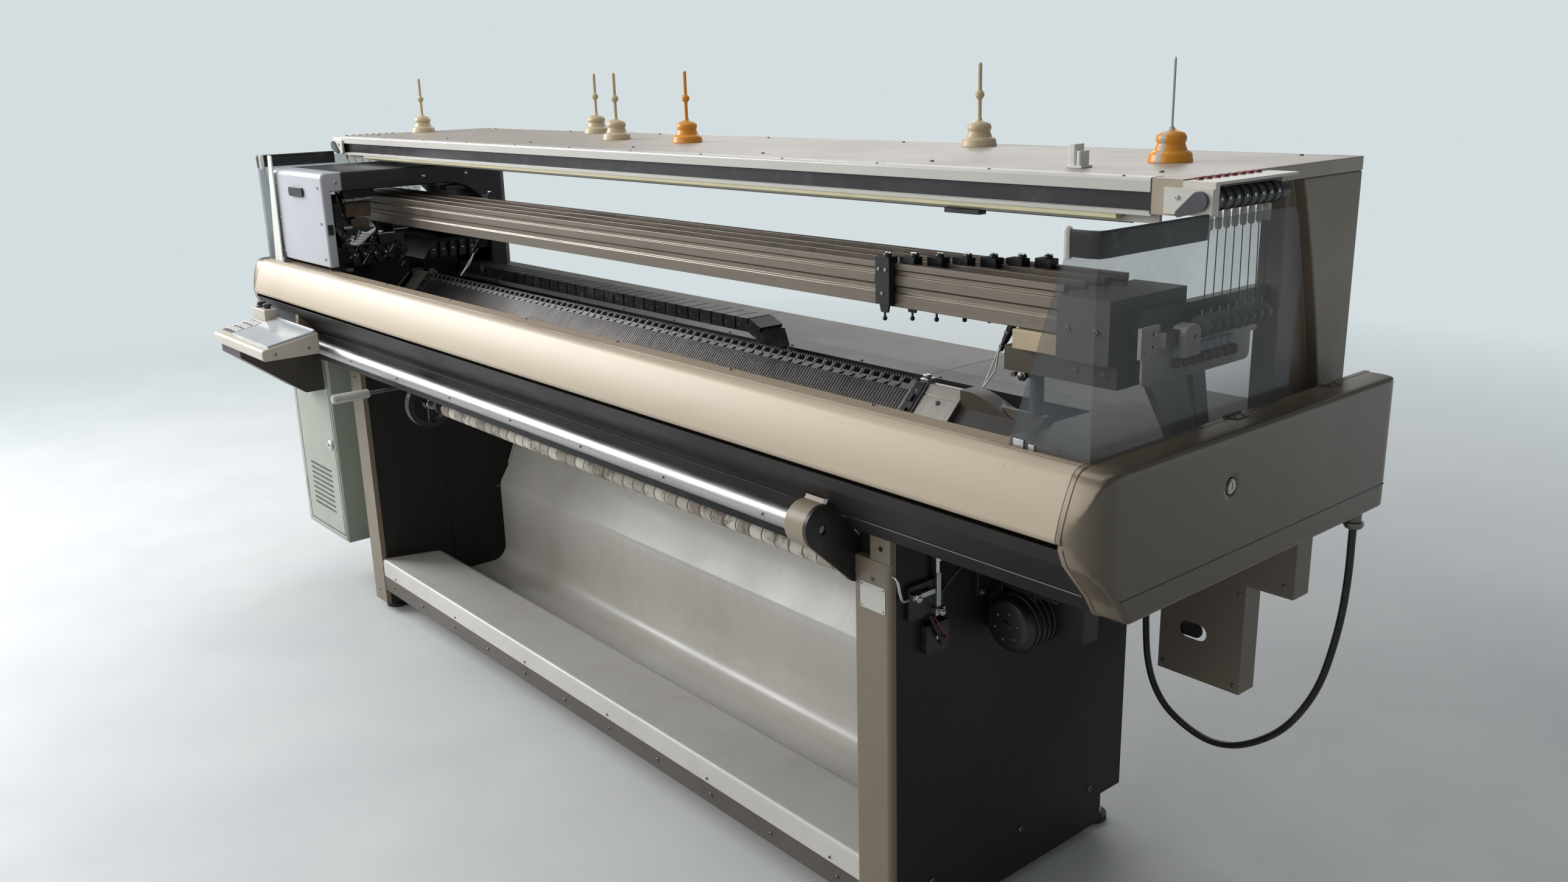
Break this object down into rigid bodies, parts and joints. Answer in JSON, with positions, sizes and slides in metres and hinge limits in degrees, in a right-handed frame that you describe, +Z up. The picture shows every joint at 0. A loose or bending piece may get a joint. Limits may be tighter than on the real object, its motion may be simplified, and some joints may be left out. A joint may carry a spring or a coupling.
{
  "type": "flat knitting machine",
  "caption": "Industrial flat knitting machine with two sloping needle beds, a bridging carriage, yarn rails with carriers, a yarn table on columns and a cloth receiver.",
  "frame": {"origin": "centre of the bounding box on the floor, which is below the knitting mouth at the middle of the machine", "axes": "+X along the machine towards the end with the yarn carriers, +Y from the operator's side to the rear, +Z up"},
  "size_m": [3.084, 0.96, 1.503],
  "materials": {
    "leg_paint": "satin",
    "trim_paint": "satin",
    "foot_black": "matt",
    "beam_paint": "satin",
    "panel_paint": "satin",
    "apron_paint": "satin",
    "cap_paint": "satin",
    "lock_metal": "brushed",
    "bed_steel": "oiled",
    "sinker_steel": "oiled",
    "block_metal": "machined",
    "guard_paint": "matt",
    "rail_metal": "anodised",
    "bracket_paint": "satin",
    "carrier_black": "satin",
    "cover_paint": "satin",
    "arch_paint": "satin",
    "cam_metal": "oiled",
    "chain_plastic": "matt",
    "table_paint": "satin",
    "rail_white": "gloss",
    "lamp_diffuser": "matt",
    "slider_black": "satin",
    "column_paint": "satin",
    "window_smoke": "smoked",
    "tension_white": "satin",
    "cone_beige": "satin",
    "cone_orange": "satin",
    "bar_metal": "polished",
    "arm_paint": "satin",
    "roller_rubber": "worn",
    "hanger_paint": "satin",
    "lever_plastic": "satin",
    "receiver_paint": "satin",
    "console_paint": "satin",
    "lid_gloss": "gloss",
    "support_paint": "satin",
    "cabinet_paint": "satin",
    "motor_black": "satin",
    "box_paint": "satin",
    "cable_black": "matt"
  },
  "bodies": {
    "machine": {"left_leg": "leg_paint", "right_leg": "leg_paint", "front_trims": "trim_paint", "levelling_feet": "foot_black", "main_beam": "beam_paint", "under_panel": "panel_paint", "front_apron": "apron_paint", "rear_cover": "panel_paint", "left_end_cap": "cap_paint", "right_end_cap": "cap_paint", "front_needle_bed": "bed_steel", "rear_needle_bed": "bed_steel", "front_sinker_strip": "sinker_steel", "rear_sinker_strip": "sinker_steel", "bed_end_blocks": "block_metal", "end_guards": "guard_paint", "yarn_rails": "rail_metal", "rail_brackets": "bracket_paint", "cable_chain": "chain_plastic", "yarn_table": "table_paint", "table_front_rail": "rail_white", "lamp_strip": "lamp_diffuser", "left_column": "column_paint", "right_column": "column_paint", "left_window": "window_smoke", "right_window": "window_smoke", "left_top_tension": "tension_white", "right_top_tension": "tension_white", "left_side_tension": "tension_white", "right_side_tension": "tension_white", "cone_holders": "cone_beige", "orange_cone_holders": "cone_orange", "bar_arms": "arm_paint", "roller_brackets": "hanger_paint", "cloth_receiver": "receiver_paint", "console_body": "console_paint", "console_bracket": "support_paint", "control_cabinet": "cabinet_paint", "drive_motor": "motor_black", "rear_box": "box_paint", "power_cable": "cable_black"},
    "carriage": {"carriage_front_cover": "cover_paint", "carriage_arch": "arch_paint", "carriage_front_cam": "cam_metal", "carriage_rear_cam": "cam_metal"},
    "bar": {"control_bar": "bar_metal"},
    "roller": {"take_down_roller": "roller_rubber"},
    "lever": {"release_lever": "lever_plastic"},
    "lid": {"console_lid": "lid_gloss"},
    "left_lock": {"left_cap_lock": "lock_metal"},
    "right_lock": {"right_cap_lock": "lock_metal"},
    "slider": {"hood_slider": "slider_black"},
    "carrier_1": {"yarn_carrier_1": "carrier_black"},
    "carrier_2": {"yarn_carrier_2": "carrier_black"},
    "carrier_3": {"yarn_carrier_3": "carrier_black"},
    "carrier_4": {"yarn_carrier_4": "carrier_black"},
    "carrier_5": {"yarn_carrier_5": "carrier_black"},
    "carrier_6": {"yarn_carrier_6": "carrier_black"},
    "carrier_7": {"yarn_carrier_7": "carrier_black"},
    "carrier_8": {"yarn_carrier_8": "carrier_black"}
  },
  "joints": [
    {"name": "carriage_slide", "type": "slide", "parent": "machine", "child": "carriage", "axis": [1, 0, 0], "range_m": [0, 2.2]},
    {"name": "bar_turn", "type": "hinge", "parent": "machine", "child": "bar", "pos_m": [0, -0.29, 0.792], "axis": [1, 0, 0], "range_deg": [-12, 12], "stiffness_Nm_per_rad": 4},
    {"name": "roller_spin", "type": "hinge", "parent": "machine", "child": "roller", "pos_m": [0, -0.214, 0.706], "axis": [1, 0, 0], "continuous": true},
    {"name": "lever_swing", "type": "hinge", "parent": "machine", "child": "lever", "pos_m": [-0.644, -0.226, 0.745], "axis": [1, 0, 0], "range_deg": [0, 35]},
    {"name": "lid_open", "type": "hinge", "parent": "machine", "child": "lid", "pos_m": [-1.144, -0.333, 0.85544], "axis": [-1, 0, 0], "range_deg": [0, 85]},
    {"name": "left_lock_turn", "type": "hinge", "parent": "machine", "child": "left_lock", "pos_m": [-1.53, 0, 0.922], "axis": [1, 0, 0], "range_deg": [0, 90]},
    {"name": "right_lock_turn", "type": "hinge", "parent": "machine", "child": "right_lock", "pos_m": [1.53, 0, 0.922], "axis": [1, 0, 0], "range_deg": [0, 90]},
    {"name": "hood_slider_slide", "type": "slide", "parent": "machine", "child": "slider", "axis": [1, 0, 0], "range_m": [-1.8, 0.2]},
    {"name": "carrier_1_slide", "type": "slide", "parent": "machine", "child": "carrier_1", "axis": [1, 0, 0], "range_m": [-1.94, 0.218]},
    {"name": "carrier_2_slide", "type": "slide", "parent": "machine", "child": "carrier_2", "axis": [1, 0, 0], "range_m": [-1.976, 0.182]},
    {"name": "carrier_3_slide", "type": "slide", "parent": "machine", "child": "carrier_3", "axis": [1, 0, 0], "range_m": [-2.012, 0.146]},
    {"name": "carrier_4_slide", "type": "slide", "parent": "machine", "child": "carrier_4", "axis": [1, 0, 0], "range_m": [-2.048, 0.11]},
    {"name": "carrier_5_slide", "type": "slide", "parent": "machine", "child": "carrier_5", "axis": [1, 0, 0], "range_m": [-2.084, 0.074]},
    {"name": "carrier_6_slide", "type": "slide", "parent": "machine", "child": "carrier_6", "axis": [1, 0, 0], "range_m": [-1.78, 0.016]},
    {"name": "carrier_7_slide", "type": "slide", "parent": "machine", "child": "carrier_7", "axis": [1, 0, 0], "range_m": [-2.156, 0]},
    {"name": "carrier_8_slide", "type": "slide", "parent": "machine", "child": "carrier_8", "axis": [1, 0, 0], "range_m": [-0.25, 1.78]}
  ]
}
